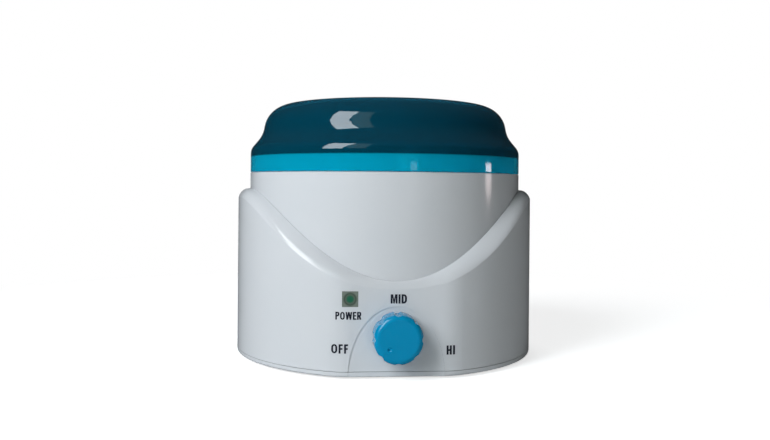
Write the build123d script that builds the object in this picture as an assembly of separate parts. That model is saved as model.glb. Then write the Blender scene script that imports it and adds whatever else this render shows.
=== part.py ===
"""Wax warmer: a round housing with a scooped front, a lift-out pot, a clear lid and one control knob.

Millimetres, +Z up, the front towards -Y. The origin is on the housing's axis, on the table.
"""

import os
from math import cos, pi, radians, sin, sqrt, tan

from build123d import *

# Outer shell, seen from above: a circle with a flat at the front
base_radius = 82.5
flat_cut = 4.5
flat_blend = 25.0
shell_wall = 2.5

# Heights of the outer shell
foot_stand = 1.2
plate_thickness = 2.5
parting_gap = 0.25
arm_height = 91.0
scoop_height = 47.0
scoop_half_angle = 75.0
rim_land = 0.4
rim_drop = 6.5
rim_swell = 2.6
rim_corner_share = 0.72
rim_soft = 0.55
rim_tight = 0.85
rim_overrun = 0.2
rim_cutter_reach = 12.0
rim_cutter_steps = 36
rim_cutter_rise = 20.0
core_inset = 6.0

# Barrel, the white cylinder inside the outer shell
rim_width = 6.4
barrel_wall = 2.6
barrel_seam = 0.3
barrel_foot = 40.0
barrel_top = 99.5
ledge_width = 4.3
collar_wall = 2.8
collar_height = 9.1
collar_edge = 1.0
shelf_drop = 7.2
shelf_thickness = 2.5
shelf_hole_gap = 0.9

# Lid
lid_gap = 0.3
lid_wall = 2.0
lid_skirt = 10.5
lid_skirt_bend = 6.5
lid_cone_angle = 39.3
lid_cone_length = 4.43
lid_waist_bend = 14.55
lid_waist_angle = 10.1
lid_waist_length = 1.3
lid_shoulder_bend = 14.55
lid_crown_angle = 1.14
lid_edge_round = 0.5

# Heating well and the pot in it
well_wall = 1.2
well_corner = 6.0
well_depth = 48.6
flange_gap = 0.6
flange_width = 9.9
flange_thickness = 1.2
seal_thickness = 0.8
seal_margin = 0.4
pot_gap = 1.0
pot_wall = 1.2
pot_corner = 8.0
pot_bead = 1.8
seat_gap = 0.3

# Arch and knob on the front flat
arch_half_width = 23.4
arch_height = 33.8
arch_depth = 0.32
knob_height = 20.8
knob_radius = 11.9
knob_length = 11.0
knob_gap = 0.6
knob_draft = 1.0
knob_notches = 8
knob_notch_radius = 2.6
knob_notch_depth = 0.75
knob_notch_soften = 0.8
knob_shoulder = 3.0
knob_skin = 2.2
knob_face = 3.0
knob_hub = 5.2
pointer_angle = 225.0
pointer_offset = 6.2
pointer_radius = 1.1
pointer_depth = 0.6

# Thermostat
shaft_radius = 3.0
shaft_flat = 2.3
shaft_hole = 4.2
running_fit = 0.05
shaft_reach = 7.5
shaft_root = 5.5
body_width = 24.0
body_depth = 15.0
body_edge_round = 2.0
bushing_radius = 5.0
bushing_length = 7.0
bracket_thickness = 1.5
bracket_width = 22.0
bracket_setback = 15.8
bracket_reach = 25.5
bracket_drop = 13.0
stud_margin = 6.5
stud_spread = 6.6
washer_thickness = 0.8
washer_radius = 7.4
nut_thickness = 2.8
nut_across = 14.0
tab_width = 6.3
tab_length = 7.0
tab_thickness = 0.8

# Indicator lamp
lamp_x = -22.5
lamp_height = 38.6
lens_width = 7.6
lens_tall = 7.3
lens_fit = 0.1
lens_flange = 1.1
lens_flange_thickness = 1.1
led_radius = 2.5
led_length = 7.5
led_rim = 0.4
led_rim_length = 1.0
led_gap = 0.3
board_width = 16.0
board_tall = 17.0
board_thickness = 1.6
board_drop = 3.3
board_post_radius = 2.2
board_post_spread = 5.4
board_post_drop = 8.3
small_thread_depth = 6.0
lamp_notch_margin = 3.0
lamp_notch_depth = 22.8
lamp_pocket = 11.5

# Heater on the well's wall
heater_lift = 7.4
heater_height = 25.0
heater_thickness = 2.2
heater_fit = 0.1
heater_split = 6.0
clamp_height = 7.0
clamp_thickness = 0.6
ear_gap = 2.5
ear_length = 8.0
ear_thickness = 1.2
ear_screw = 4.6
sleeve_thickness = 3.5
sleeve_overhang = 3.0
sleeve_split = 12.0

# Fasteners: threads are plain cylinders
screw_radius = 1.5
screw_head_radius = 2.8
narrow_head_radius = 2.1
screw_head_height = 1.7
thread_fit = 0.05
hole_fit = 0.3
hex_across = 5.5
hex_height = 2.0
stud_length = 5.5
small_screw_radius = 1.0
small_head_radius = 1.9
small_head_height = 1.2
drive_width = 0.6

# Columns and long screws that hold plate, shell and barrel together
column_radius = 4.5
column_gap = 1.0
column_start = 45.0
column_top = 44.0
barrel_boss = 12.0
thread_depth = 9.0
rib_thickness = 2.0
plate_boss = 3.0
counterbore_depth = 2.1
well_screw_margin = 3.8
well_screw_start = 60.0
well_boss_radius = 3.2
well_boss = 7.5
well_screws = 3

# Base plate
plate_edge_round = 1.4
lip_wall = 1.6
lip_gap = 0.3
vent_length = 30.0
vent_width = 3.0
vent_pitch = 7.0
vent_rows = 7
vent_x = -21.0
foot_inset = 18.5
foot_radius = 6.0
foot_recess = 1.0
foot_fit = 0.15
foot_edge_round = 0.48

# Terminal block on two posts of the base plate
block_gap = 0.58
block_y = 38.0
block_length = 34.0
block_width = 14.0
block_height = 11.0
block_lift = 4.3
block_pitch = 9.0
block_bore = 1.6
block_bore_drop = 1.0
block_edge_round = 1.2
grub_drop = 1.0
grub_gap = 0.2
grub_slot = 0.8
block_screw_row = 4.0
block_post_radius = 3.0

# Fuse and earth tag under the well
fuse_y = 18.0
fuse_radius = 2.0
fuse_length = 11.0
fuse_wire_radius = 0.4
fuse_wire = 5.0
clip_width = 5.0
clip_thickness = 0.6
clip_stud = 7.2
clip_reach = 10.4
clip_fit = 0.3
earth_x = 26.0
earth_y = -12.0
tag_radius = 3.4
tag_length = 11.0

# Cord gland at the back
gland_height = 16.0
gland_bore = 3.4
gland_neck = 5.9
gland_flange = 7.5
gland_flange_thickness = 2.2
gland_fit = 0.2
gland_flange_gap = 0.1
gland_inner_gap = 0.6

# Wires, with the pitch of the grid on which their bends are placed
wire_radius = 0.8
wire_end_gap = 0.3
wire_bend_share = 0.45
lead_x = 10.0
route_pitch = 2.0

# How far a cut runs past a face, and how far joined bodies reach into each other
overcut = 1.0
fuse_overlap = 0.5

# Derived radii
flat_distance = base_radius - flat_cut
panel_face = flat_distance - arch_depth
barrel_radius = base_radius - rim_width
collar_radius = barrel_radius - ledge_width
flange_radius = collar_radius - collar_wall - flange_gap
well_radius = flange_radius - flange_width
screw_circle = barrel_radius - barrel_wall - column_radius - column_gap
well_screw_circle = flange_radius - well_screw_margin
foot_circle = base_radius - foot_inset
block_x = screw_circle * sin(radians(column_start)) - column_radius - block_gap - block_length / 2
bracket_front = panel_face - bracket_setback

# Derived heights
plate_top = foot_stand + plate_thickness
shell_bottom = plate_top + parting_gap
rim_inner = barrel_radius + barrel_seam
rim_start = rim_inner + rim_land
collar_top = barrel_top + collar_height
shelf_top = collar_top - shelf_drop
flange_top = shelf_top + seal_thickness + flange_thickness
well_floor = flange_top - well_depth
well_under = well_floor - well_wall
well_outer = well_radius + well_wall
pot_radius = well_radius - pot_gap
pot_floor = well_floor + seat_gap
bead_height = flange_top + seat_gap + pot_bead
boss_top = plate_top + plate_boss
rib_bottom = boss_top + lip_gap
heater_bottom = well_under + heater_lift
clear_radius = screw_radius + hole_fit
thread_radius = screw_radius + thread_fit


def cylinder(radius, bottom, top):
    """Upright cylinder between two heights."""
    return Pos(0, 0, bottom) * extrude(Circle(radius), top - bottom)


def ring(inner, outer, bottom, top):
    """Upright ring between two heights."""
    return Pos(0, 0, bottom) * extrude(Circle(outer) - Circle(inner), top - bottom)


def block(x, y, z):
    """Box given by its low and high values along each axis."""
    size = [high - low for low, high in (x, y, z)]
    middle = [(high + low) / 2 for low, high in (x, y, z)]
    return Pos(*middle) * Box(*size)


def around(radius, angle):
    """Place on a circle, the angle counted from the front towards +X."""
    return Pos(radius * sin(radians(angle)), -radius * cos(radians(angle)), 0)


def along_y(x, z, radius, start, end):
    """Cylinder along +Y between two y values."""
    return Pos(x, start, z) * Rot(-90, 0, 0) * extrude(Circle(radius), end - start)


def hexagon(across, height):
    """Hexagonal prism on z = 0, given across its flats."""
    return extrude(RegularPolygon(across / sqrt(3), 6), height)


def screw(radius, length, head_radius, head_height):
    """Pan-head cross screw: the head stands on z = 0 and the shank points down."""
    head = cylinder(head_radius, 0, head_height)
    head = fillet(head.edges().sort_by(Axis.Z)[-1], head_height * 0.45)
    slot = Box(drive_width, head_radius * 1.1, head_height)
    cross = slot + Rot(0, 0, 90) * slot
    shank = cylinder(radius, -length, head_height / 2)
    return head + shank - Pos(0, 0, head_height) * cross


def plan(inset=0.0):
    """Outline of the outer shell from above, drawn in by an inset."""
    radius = base_radius - inset
    flat = flat_distance - inset
    back = radius + overcut
    window = Pos(0, (back - flat) / 2) * Rectangle(2 * back, back + flat)
    outline = Circle(radius) & window
    corners = outline.vertices().sort_by(Axis.Y)[:2]
    return fillet(corners, flat_blend - inset)


def prism(sketch, bottom, top):
    """Sketch raised between two heights."""
    return Pos(0, 0, bottom) * extrude(sketch, top - bottom)


def scoop_edge(angle):
    """Height of the rim at an angle from the front: a cosine between scoop and arms."""
    if abs(angle) >= scoop_half_angle:
        return arm_height
    rise = (arm_height - scoop_height) / 2
    return scoop_height + rise * (1 - cos(pi * angle / scoop_half_angle))


def radial_plane(angle):
    """Upright plane through the axis whose x runs outwards at an angle from the front."""
    turn = radians(angle)
    return Plane(origin=(0, 0, 0), x_dir=(sin(turn), -cos(turn), 0), z_dir=(-cos(turn), -sin(turn), 0))


def wall_radius(angle):
    """Distance from the axis to the outer wall at an angle from the front: flat, blend or circle."""
    turn = radians(abs(angle))
    blend_y = flat_distance - flat_blend
    blend_x = sqrt((base_radius - flat_blend) ** 2 - blend_y**2)
    if tan(turn) <= blend_x / flat_distance:
        return flat_distance / cos(turn)
    if tan(turn) >= blend_x / blend_y:
        return base_radius
    along = blend_x * sin(turn) + blend_y * cos(turn)
    return along + sqrt(along**2 - blend_x**2 - blend_y**2 + flat_blend**2)


def rim_slope(angle):
    """Share from 0 to 1 that tells how steeply the rim runs at an angle from the front."""
    if abs(angle) >= scoop_half_angle:
        return 0.0
    return sin(pi * angle / scoop_half_angle) ** 2


def rim_section(angle, wall, depth, far_height):
    """Region beyond the rim's roll to the wall, drawn in by a depth, up or down to a height.

    The roll is round where the rim is level. Where it slopes, it is a band with a tight outer edge.
    """
    slope = rim_slope(angle)
    top = scoop_edge(angle) - depth
    down = rim_drop + rim_swell * slope - depth
    across = max(wall - rim_start - depth, rim_land)
    bend = rim_soft + (rim_tight - rim_soft) * slope
    near = rim_inner - rim_cutter_reach
    far = base_radius + rim_cutter_reach
    start = Vector(rim_start, top)
    corner = Vector(rim_start + across, top - rim_corner_share * slope * down)
    end = Vector(rim_start + across + rim_overrun, top - down)
    roll = Bezier(start, start + (corner - start) * bend, end + (corner - end) * bend, end)
    outline = Line((near, top), start) + roll
    outline += Polyline(end, (far, end.Y), (far, far_height), (near, far_height), (near, top))
    return radial_plane(angle) * make_face(outline)


def rim_region(walls, depth, far_height):
    """Half of the region beyond the rim, from side to side, for the wall's distance at each angle."""
    pitch = 180 / rim_cutter_steps
    angles = [pitch * step - 90 for step in range(rim_cutter_steps + 1)]
    return loft([rim_section(angle, walls(angle), depth, far_height) for angle in angles])


def round_wall(angle):
    """Distance from the axis to the outer wall at the back, where it has no flat."""
    return base_radius


def arch_cut():
    """Shallow arch in the front flat round the knob."""
    ellipse = Ellipse(arch_half_width, arch_height)
    cutter = Rot(90, 0, 0) * extrude(ellipse, base_radius)
    return Pos(0, 0, foot_stand) * cutter & block(
        (-base_radius, base_radius), (-base_radius, -panel_face), (-arch_height, arch_height * 2)
    )


def base_housing():
    """Outer shell: scooped rim, front flat, window, shaft hole, gland hole and screw columns."""
    shell = prism(plan(), shell_bottom, arm_height + overcut)
    shell -= cylinder(rim_inner, barrel_foot - seat_gap, arm_height + 3 * overcut)
    shell -= cylinder(rim_inner - core_inset, shell_bottom - 2 * overcut, arm_height + 2 * overcut)
    room = prism(plan(shell_wall), shell_bottom - overcut, arm_height)
    for turn, walls in ((0, wall_radius), (180, round_wall)):
        shell -= Rot(0, 0, turn) * rim_region(walls, 0, arm_height + rim_cutter_rise)
        shell -= Rot(0, 0, turn) * rim_region(walls, shell_wall, 0) & room
    shell -= arch_cut()
    shell -= block(
        (lamp_x - lens_width / 2 - lens_fit, lamp_x + lens_width / 2 + lens_fit),
        (-base_radius, -flat_distance + 2 * shell_wall),
        (lamp_height - lens_tall / 2 - lens_fit, lamp_height + lens_tall / 2 + lens_fit),
    )
    flange_x = lens_width / 2 + lens_flange + seat_gap
    flange_z = lens_tall / 2 + lens_flange + seat_gap
    shell -= block(
        (lamp_x - flange_x, lamp_x + flange_x),
        (-flat_distance + shell_wall, -flat_distance + shell_wall + lamp_pocket),
        (lamp_height - flange_z, lamp_height + flange_z),
    )
    shell -= along_y(0, knob_height, shaft_hole, -base_radius, -flat_distance + 2 * shell_wall)
    gland_hole = gland_neck + gland_fit
    shell -= along_y(0, gland_height, gland_hole, base_radius - 2 * shell_wall, base_radius + overcut)
    inside = prism(plan(shell_wall / 2), shell_bottom, arm_height)
    for turn in column_turns():
        column = around(screw_circle, turn) * cylinder(column_radius, boss_top, column_top)
        rib = block(
            (-rib_thickness / 2, rib_thickness / 2),
            (-base_radius, -screw_circle),
            (rib_bottom, barrel_foot - 2 * seat_gap),
        )
        shell += Rot(0, 0, turn) * rib & inside
        shell += column
        hole = cylinder(clear_radius, boss_top - overcut, column_top + overcut)
        shell -= around(screw_circle, turn) * hole
    for post_x in lamp_posts():
        post = along_y(post_x, lamp_post_z(), board_post_radius, -base_radius, -board_front())
        shell += post & inside
        hole_end = -board_front() - small_thread_depth
        shell -= along_y(
            post_x, lamp_post_z(), small_screw_radius + thread_fit, hole_end, -board_front() + overcut
        )
    return shell


def column_turns():
    """Angles of the four screw columns, counted from the front."""
    return [column_start + 90 * corner for corner in range(4)]


def lens_back():
    """Distance from the axis to the back of the lens flange."""
    return flat_distance - shell_wall - seat_gap - lens_flange_thickness


def board_front():
    """Distance from the axis to the lamp board's front face."""
    return lens_back() - led_gap - led_length


def lamp_post_z():
    """Height of the two posts that hold the lamp board."""
    return lamp_height - board_post_drop


def lamp_posts():
    """X of the two posts that hold the lamp board."""
    return [lamp_x - board_post_spread, lamp_x + board_post_spread]


def base_plate():
    """Bottom closure with its edge band, locating lip, bosses, vents, posts and foot recesses."""
    plate = prism(plan(), foot_stand, plate_top)
    rim_edges = plate.edges().filter_by_position(Axis.Z, foot_stand, foot_stand)
    plate = fillet(rim_edges, plate_edge_round)
    lip_inset = shell_wall + lip_gap
    lip = plan(lip_inset) - plan(lip_inset + lip_wall)
    plate += prism(lip, plate_top - fuse_overlap, boss_top)
    below = foot_stand - overcut
    head_bore = screw_head_radius + hole_fit
    for turn in column_turns():
        spot = around(screw_circle, turn)
        plate += spot * cylinder(column_radius, plate_top - fuse_overlap, boss_top)
        plate -= spot * cylinder(clear_radius, below, boss_top + overcut)
        plate -= spot * cylinder(head_bore, below, foot_stand + counterbore_depth)
    for spot in foot_spots():
        plate -= spot * cylinder(foot_radius + foot_fit, below, foot_stand + foot_recess)
    for post_x in block_posts():
        spot = Pos(post_x, block_y, 0)
        plate += spot * cylinder(block_post_radius, plate_top - fuse_overlap, block_bottom())
        plate -= spot * cylinder(thread_radius, plate_top + seat_gap, block_bottom() + overcut)
    slot = extrude(SlotOverall(vent_length, vent_width), plate_thickness + 2 * overcut)
    for row in range(vent_rows):
        offset_y = (row - (vent_rows - 1) / 2) * vent_pitch
        plate -= Pos(vent_x, offset_y, below) * slot
    return plate - arch_cut()


def block_bottom():
    """Height of the terminal block's underside."""
    return plate_top + block_lift


def block_posts():
    """X of the two posts under the terminal block, between its ways."""
    return [block_x - block_pitch / 2, block_x + block_pitch / 2]


def foot_spots():
    """Places of the four feet."""
    return [around(foot_circle, 90 * corner) for corner in range(4)]


def rubber_feet():
    """Four feet seated in the plate's recesses."""
    foot = cylinder(foot_radius, 0, foot_stand + foot_recess)
    foot = fillet(foot.edges().sort_by(Axis.Z)[0], foot_edge_round)
    return [spot * foot for spot in foot_spots()]


def base_screws():
    """Four long screws from below, through the shell's columns into the barrel."""
    seat = foot_stand + counterbore_depth
    length = column_top + thread_depth - seat
    part = Rot(180, 0, 0) * screw(screw_radius, length, screw_head_radius, screw_head_height)
    return [around(screw_circle, turn) * Pos(0, 0, seat) * part for turn in column_turns()]


def upper_housing():
    """Barrel with the ledge for the lid, the collar and the shelf for the well."""
    inner = barrel_radius - barrel_wall
    collar_inner = collar_radius - collar_wall
    shelf_inner = well_outer + shelf_hole_gap
    ledge_under = barrel_top - barrel_wall
    outline = Polyline(
        (inner, barrel_foot),
        (barrel_radius, barrel_foot),
        (barrel_radius, barrel_top),
        (collar_radius, barrel_top),
        (collar_radius, collar_top),
        (collar_inner, collar_top),
        (collar_inner, shelf_top),
        (shelf_inner, shelf_top),
        (shelf_inner, shelf_top - shelf_thickness),
        (collar_inner, shelf_top - shelf_thickness),
        (collar_inner, ledge_under),
        (inner, ledge_under),
        (inner, barrel_foot),
    )
    section = make_face(outline)
    tips = [v for v in section.vertices() if abs(v.Y - collar_top) < 0.01]
    barrel = revolve(Rot(90, 0, 0) * fillet(tips, collar_edge), Axis.Z)
    for turn in column_turns():
        boss = around(screw_circle, turn) * cylinder(column_radius, column_top, column_top + barrel_boss)
        rib = block(
            (-rib_thickness / 2, rib_thickness / 2),
            (-barrel_radius + barrel_wall / 2, -screw_circle),
            (column_top, column_top + barrel_boss),
        )
        barrel += boss + Rot(0, 0, turn) * rib
        barrel -= around(screw_circle, turn) * cylinder(
            thread_radius, column_top - overcut, column_top + thread_depth + overcut
        )
    for spot in well_spots():
        boss_foot = shelf_top - shelf_thickness - well_boss
        barrel += spot * cylinder(well_boss_radius, boss_foot, shelf_top - shelf_thickness / 2)
        barrel -= spot * cylinder(thread_radius, boss_foot + fuse_overlap, shelf_top + overcut)
    notch_half = lens_width / 2 + lens_flange + lamp_notch_margin
    notch_top = lamp_height + lens_tall / 2 + lens_flange + 2 * seat_gap
    barrel -= block(
        (lamp_x - notch_half, lamp_x + notch_half),
        (-barrel_radius - overcut, -barrel_radius + lamp_notch_depth),
        (barrel_foot - overcut, notch_top),
    )
    return barrel


def lid_line(inset):
    """Half outline of the lid, parallel to its outside at an inset, from the edge to the crown."""
    start = (barrel_radius - inset, barrel_top + lid_gap)
    shoulder = (barrel_radius - inset, barrel_top + lid_gap + lid_skirt)
    skirt = Line(start, shoulder)
    bend = JernArc(shoulder, (0, 1), lid_skirt_bend - inset, lid_cone_angle)
    cone = PolarLine(bend @ 1, lid_cone_length, 90 + lid_cone_angle)
    back = lid_cone_angle - lid_waist_angle
    waist = JernArc(cone @ 1, cone % 1, lid_waist_bend + inset, -back)
    rise = PolarLine(waist @ 1, lid_waist_length, 90 + lid_waist_angle)
    over = 90 - lid_crown_angle - lid_waist_angle
    round_over = JernArc(rise @ 1, rise % 1, lid_shoulder_bend - inset, over)
    end = round_over @ 1
    crown_radius = end.X / sin(radians(lid_crown_angle))
    top = end.Y + crown_radius * (1 - cos(radians(lid_crown_angle)))
    half = radians(lid_crown_angle) / 2
    between = (crown_radius * sin(half), top - crown_radius * (1 - cos(half)))
    crown = ThreePointArc(end, between, (0, top))
    return skirt + bend + cone + waist + rise + round_over + crown


def lid():
    """Clear stepped lid of even wall."""
    outer = lid_line(0)
    inner = lid_line(lid_wall)
    edge = barrel_top + lid_gap
    crown = outer.vertices().sort_by(Axis.X)[0]
    inner_crown = inner.vertices().sort_by(Axis.X)[0]
    closing = Line((crown.X, crown.Y), (inner_crown.X, inner_crown.Y))
    closing += Line((barrel_radius - lid_wall, edge), (barrel_radius, edge))
    section = make_face(outer + inner + closing)
    tips = [v for v in section.vertices() if abs(v.Y - edge) < 0.01]
    return revolve(Rot(90, 0, 0) * fillet(tips, lid_edge_round), Axis.Z)


def well_spots():
    """Places of the flange screws."""
    turns = [well_screw_start + 360 * hole / well_screws for hole in range(well_screws)]
    return [around(well_screw_circle, turn) for turn in turns]


def stud_spots():
    """Studs welded under the well: bracket, fuse clip and earth."""
    bracket_y = -bracket_front + bracket_reach - stud_margin
    spots = [(-stud_spread, bracket_y), (stud_spread, bracket_y)]
    spots += [(0, fuse_y - clip_stud), (0, fuse_y + clip_stud), (earth_x, earth_y)]
    return [Pos(x, y, 0) for x, y in spots]


def heating_well():
    """Fixed cup with a flange, and studs under its floor."""
    corner = well_corner
    inner_corner = well_corner - well_wall
    outline = Line((0, well_under), (well_outer - corner, well_under))
    outline += RadiusArc((well_outer - corner, well_under), (well_outer, well_under + corner), -corner)
    outline += Polyline(
        (well_outer, well_under + corner),
        (well_outer, flange_top - flange_thickness),
        (flange_radius, flange_top - flange_thickness),
        (flange_radius, flange_top),
        (well_radius, flange_top),
        (well_radius, well_floor + inner_corner),
    )
    outline += RadiusArc(
        (well_radius, well_floor + inner_corner), (well_radius - inner_corner, well_floor), inner_corner
    )
    outline += Polyline((well_radius - inner_corner, well_floor), (0, well_floor), (0, well_under))
    well = revolve(Rot(90, 0, 0) * make_face(outline), Axis.Z)
    for spot in well_spots():
        well -= spot * cylinder(clear_radius, shelf_top, flange_top + overcut)
    for spot in stud_spots():
        well += spot * cylinder(screw_radius, well_under - stud_length, well_under + fuse_overlap)
    return well


def well_seal():
    """Ring between the flange and the shelf."""
    inner = well_outer + shelf_hole_gap
    seal = ring(inner, flange_radius - seal_margin, shelf_top, shelf_top + seal_thickness)
    for spot in well_spots():
        seal -= spot * cylinder(clear_radius, shelf_top - overcut, flange_top)
    return seal


def well_screw_set():
    """Screws that hold the flange down."""
    length = seal_thickness + flange_thickness + thread_depth - overcut
    part = Pos(0, 0, flange_top) * screw(screw_radius, length, screw_head_radius, screw_head_height)
    return [spot * part for spot in well_spots()]


def wax_pot():
    """Lift-out pot with a rolled bead that rests on the well's flange."""
    inner = pot_radius - pot_wall
    corner = pot_corner
    inner_corner = pot_corner - pot_wall
    bead_middle = inner + pot_bead
    bead_low = bead_height - sqrt(pot_bead**2 - (pot_radius - bead_middle) ** 2)
    floor = pot_floor + pot_wall
    outline = Line((0, pot_floor), (pot_radius - corner, pot_floor))
    outline += RadiusArc((pot_radius - corner, pot_floor), (pot_radius, pot_floor + corner), -corner)
    outline += Line((pot_radius, pot_floor + corner), (pot_radius, bead_low))
    outline += RadiusArc((pot_radius, bead_low), (bead_middle + pot_bead, bead_height), -pot_bead)
    outline += ThreePointArc(
        (bead_middle + pot_bead, bead_height), (bead_middle, bead_height + pot_bead), (inner, bead_height)
    )
    outline += Line((inner, bead_height), (inner, floor + inner_corner))
    outline += RadiusArc(
        (inner, floor + inner_corner), (inner - inner_corner, floor), inner_corner
    )
    outline += Polyline((inner - inner_corner, floor), (0, floor), (0, pot_floor))
    return revolve(Rot(90, 0, 0) * make_face(outline), Axis.Z)


def rear_gap(half_angle, bottom, top):
    """Wedge at the back, to split a ring."""
    reach = base_radius
    side = reach * sin(radians(half_angle))
    wedge = make_face(Polyline((0, 0), (side, reach), (-side, reach), (0, 0)))
    return prism(wedge, bottom, top)


def heater_band():
    """Band heater round the well, open at the back."""
    inner = well_outer + heater_fit
    top = heater_bottom + heater_height
    band = ring(inner, inner + heater_thickness, heater_bottom, top)
    return band - rear_gap(heater_split, heater_bottom - overcut, top + overcut)


def clamp_level():
    """Lowest height of the clamp strap, at the middle of the heater."""
    return heater_bottom + (heater_height - clamp_height) / 2


def band_clamp():
    """Steel strap with two ears at the back."""
    inner = well_outer + heater_fit + heater_thickness + heater_fit
    outer = inner + clamp_thickness
    low = clamp_level()
    high = low + clamp_height
    strap = ring(inner, outer, low, high)
    split = block((-ear_gap, ear_gap), (0, base_radius), (low - overcut, high + overcut))
    strap -= split
    for side in (-1, 1):
        x_range = sorted((side * ear_gap, side * (ear_gap + ear_thickness)))
        ear = block(x_range, (inner, outer + ear_length), (low, high))
        strap += ear
    reach = ear_gap + ear_thickness + overcut
    strap -= along_x(-reach, reach, clamp_screw_y(), low + clamp_height / 2, clear_radius)
    return strap


def clamp_screw_y():
    """Distance from the axis to the clamp screw."""
    return well_outer + 2 * heater_fit + heater_thickness + clamp_thickness + ear_screw


def along_x(start, end, y, z, radius):
    """Cylinder along +X between two x values."""
    return Pos(start, y, z) * Rot(0, 90, 0) * extrude(Circle(radius), end - start)


def clamp_screw():
    """Screw across the ears."""
    seat = ear_gap + ear_thickness
    length = 2 * seat + 2 * hex_height
    part = screw(screw_radius, length, screw_head_radius, screw_head_height)
    return Pos(seat, clamp_screw_y(), clamp_level() + clamp_height / 2) * Rot(0, 90, 0) * part


def hex_nut():
    """Nut on z = 0."""
    return hexagon(hex_across, hex_height) - cylinder(thread_radius, -overcut, hex_height + overcut)


def clamp_nut():
    """Nut behind the other ear."""
    seat = -ear_gap - ear_thickness
    return Pos(seat, clamp_screw_y(), clamp_level() + clamp_height / 2) * Rot(0, -90, 0) * hex_nut()


def insulation_sleeve():
    """Glass-fibre sleeve round the heater and its strap, open at the back."""
    inner = well_outer + 2 * heater_fit + heater_thickness + clamp_thickness + heater_fit
    low = heater_bottom - sleeve_overhang
    high = heater_bottom + heater_height + sleeve_overhang
    sleeve = ring(inner, inner + sleeve_thickness, low, high)
    return sleeve - rear_gap(sleeve_split, low - overcut, high + overcut)


def thermostat_bracket():
    """Angle bracket: one leg on the well's studs, the other down behind the front."""
    half = bracket_width / 2
    front = -bracket_front
    flat_leg = block(
        (-half, half), (front, front + bracket_reach), (well_under - bracket_thickness, well_under)
    )
    down_leg = block(
        (-half, half), (front, front + bracket_thickness), (knob_height - bracket_drop, well_under)
    )
    bracket = flat_leg + down_leg
    inner_edge = bracket.edges().filter_by(Axis.X)
    bends = inner_edge.sort_by(Axis.Z)[-2:].sort_by(Axis.Y)[:1]
    bracket = fillet(bends, bracket_thickness * 0.8)
    bushing_hole = bushing_radius + running_fit
    bracket -= along_y(0, knob_height, bushing_hole, front - overcut, front + 2 * bracket_thickness)
    for spot in stud_spots()[:2]:
        bracket -= spot * cylinder(clear_radius, well_under - 2 * bracket_thickness, well_under + overcut)
    return bracket


def bracket_nuts():
    """Nuts on the bracket's studs."""
    place = Pos(0, 0, well_under - bracket_thickness - hex_height)
    return [spot * place * hex_nut() for spot in stud_spots()[:2]]


def thermostat_body():
    """Ceramic thermostat with a threaded bushing and two tabs."""
    back = bracket_front - bracket_thickness
    half = body_width / 2
    body = block((-half, half), (-back, -back + body_depth), (knob_height - half, knob_height + half))
    body = fillet(body.edges().filter_by(Axis.Y), body_edge_round)
    for side in (-1, 1):
        middle = side * body_width / 4
        body += block(
            (middle - tab_width / 2, middle + tab_width / 2),
            (-back + body_depth - fuse_overlap, -back + body_depth + tab_length),
            (knob_height - tab_thickness / 2, knob_height + tab_thickness / 2),
        )
    bushing_end = -back - bushing_length
    body += along_y(0, knob_height, bushing_radius, bushing_end, -back + fuse_overlap)
    bore = shaft_radius + running_fit
    return body - along_y(0, knob_height, bore, bushing_end - overcut, -back + shaft_root + seat_gap)


def thermostat_washer():
    """Washer under the fixing nut."""
    washer = extrude(Circle(washer_radius) - Circle(bushing_radius + running_fit), washer_thickness)
    return Pos(0, -bracket_front, knob_height) * Rot(90, 0, 0) * washer


def thermostat_nut():
    """Fixing nut on the bushing."""
    nut = hexagon(nut_across, nut_thickness)
    nut -= cylinder(bushing_radius + running_fit, -overcut, nut_thickness + overcut)
    return Pos(0, -bracket_front - washer_thickness, knob_height) * Rot(90, 0, 0) * nut


def knob_back():
    """Distance from the axis to the knob's back edge."""
    return panel_face + knob_gap


def shaft_end():
    """Distance from the axis to the front end of the shaft."""
    return knob_back() + shaft_reach


def thermostat_shaft():
    """Shaft with a flat at the knob's end."""
    root = bracket_front - bracket_thickness - shaft_root
    shaft = along_y(0, knob_height, shaft_radius, -shaft_end(), -root)
    flat = block(
        (-shaft_radius, shaft_radius),
        (-shaft_end() - overcut, -knob_back() - overcut),
        (knob_height + shaft_flat, knob_height + 2 * shaft_radius),
    )
    return shaft - flat


def knob_outline():
    """Round outline with shallow softened notches."""
    outline = Circle(knob_radius)
    reach = knob_radius - knob_notch_depth + knob_notch_radius
    for place in PolarLocations(reach, knob_notches):
        outline -= place * Circle(knob_notch_radius)
    corners = [v for v in outline.vertices() if v.center().length > knob_radius - knob_notch_depth / 2]
    return fillet(corners, knob_notch_soften)


def knob():
    """Lobed knob with a round shoulder, a flat face, a pointer dimple, a hub and a hollow back."""
    outline = knob_outline()
    front = scale(outline, by=1 - knob_length * tan(radians(knob_draft)) / knob_radius)
    body = loft([outline.faces()[0], Pos(0, 0, knob_length) * front.faces()[0]], ruled=True)
    dome = cylinder(knob_radius, 0, knob_length)
    body &= fillet(dome.edges().sort_by(Axis.Z)[-1], knob_shoulder)
    hollow_radius = knob_radius - knob_notch_depth - knob_skin
    body -= ring(knob_hub, hollow_radius, -overcut, knob_length - knob_face)
    bore = Circle(shaft_radius + running_fit)
    side = 4 * shaft_radius
    bore &= Pos(0, shaft_flat + running_fit - side / 2) * Rectangle(side, side)
    entry = cylinder(shaft_radius + running_fit, -overcut, overcut)
    body -= prism(bore, 0, shaft_reach + seat_gap) + entry
    turn = radians(pointer_angle)
    sphere_radius = (pointer_radius**2 + pointer_depth**2) / (2 * pointer_depth)
    dimple = Pos(
        pointer_offset * sin(turn), pointer_offset * cos(turn), knob_length + sphere_radius - pointer_depth
    ) * Sphere(sphere_radius)
    body -= dimple
    return Pos(0, -knob_back(), knob_height) * Rot(90, 0, 0) * body


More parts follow.
